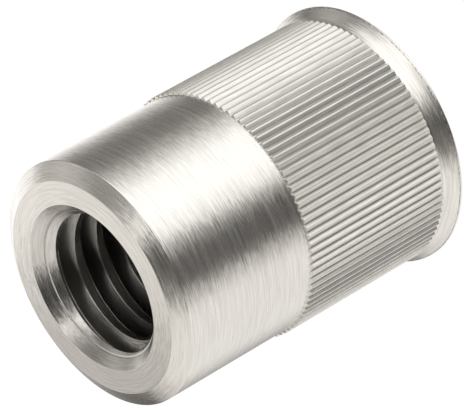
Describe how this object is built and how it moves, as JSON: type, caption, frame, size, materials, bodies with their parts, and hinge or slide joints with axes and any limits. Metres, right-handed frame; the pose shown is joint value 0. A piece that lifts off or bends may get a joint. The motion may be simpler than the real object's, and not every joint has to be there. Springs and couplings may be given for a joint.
{
  "type": "rivet nut",
  "caption": "Round blind rivet nut in steel: threaded plain shank end, straight-knurled collar over the folding zone and a thin flared head, open right through.",
  "frame": {"origin": "centre of the head's outer face, which the nut stands on", "axes": "+Z along the bore, from the head to the threaded end; X and Y across it"},
  "size_m": [0.0098, 0.0096, 0.0128],
  "materials": {
    "turned_stainless_steel": "fine turned, satin to bright"
  },
  "bodies": {
    "root": {"rivet_nut": "turned_stainless_steel"}
  },
  "joints": []
}
